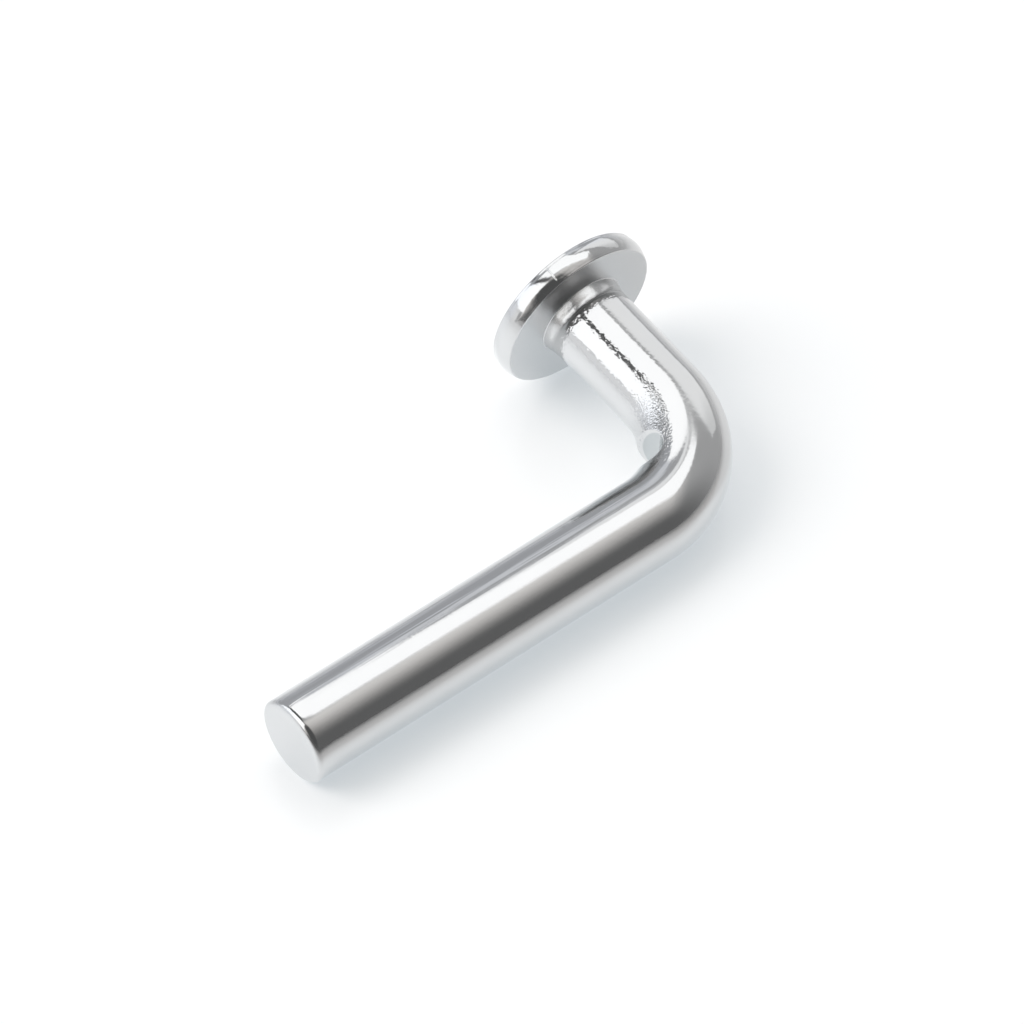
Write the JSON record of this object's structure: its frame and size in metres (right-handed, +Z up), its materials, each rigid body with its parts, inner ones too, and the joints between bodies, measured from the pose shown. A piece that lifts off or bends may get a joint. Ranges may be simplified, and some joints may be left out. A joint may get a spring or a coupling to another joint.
{
  "type": "pallet rack safety pin",
  "caption": "Bent steel safety pin for pallet racking: a plain round leg to go through the rack's holes, a right-angle bend and a short leg with a flat disc head.",
  "frame": {"origin": "on the ground, under the middle of the pin's overall box, with the pin lying as it comes to rest", "axes": "-X along the plain leg to its free end, +Y from the plain leg to the head, +Z up"},
  "size_m": [0.0568, 0.0286, 0.0163],
  "materials": {
    "zinc_steel": "bright zinc plate over drawn steel bar"
  },
  "bodies": {
    "root": {"safety_pin": "zinc_steel"}
  },
  "joints": []
}
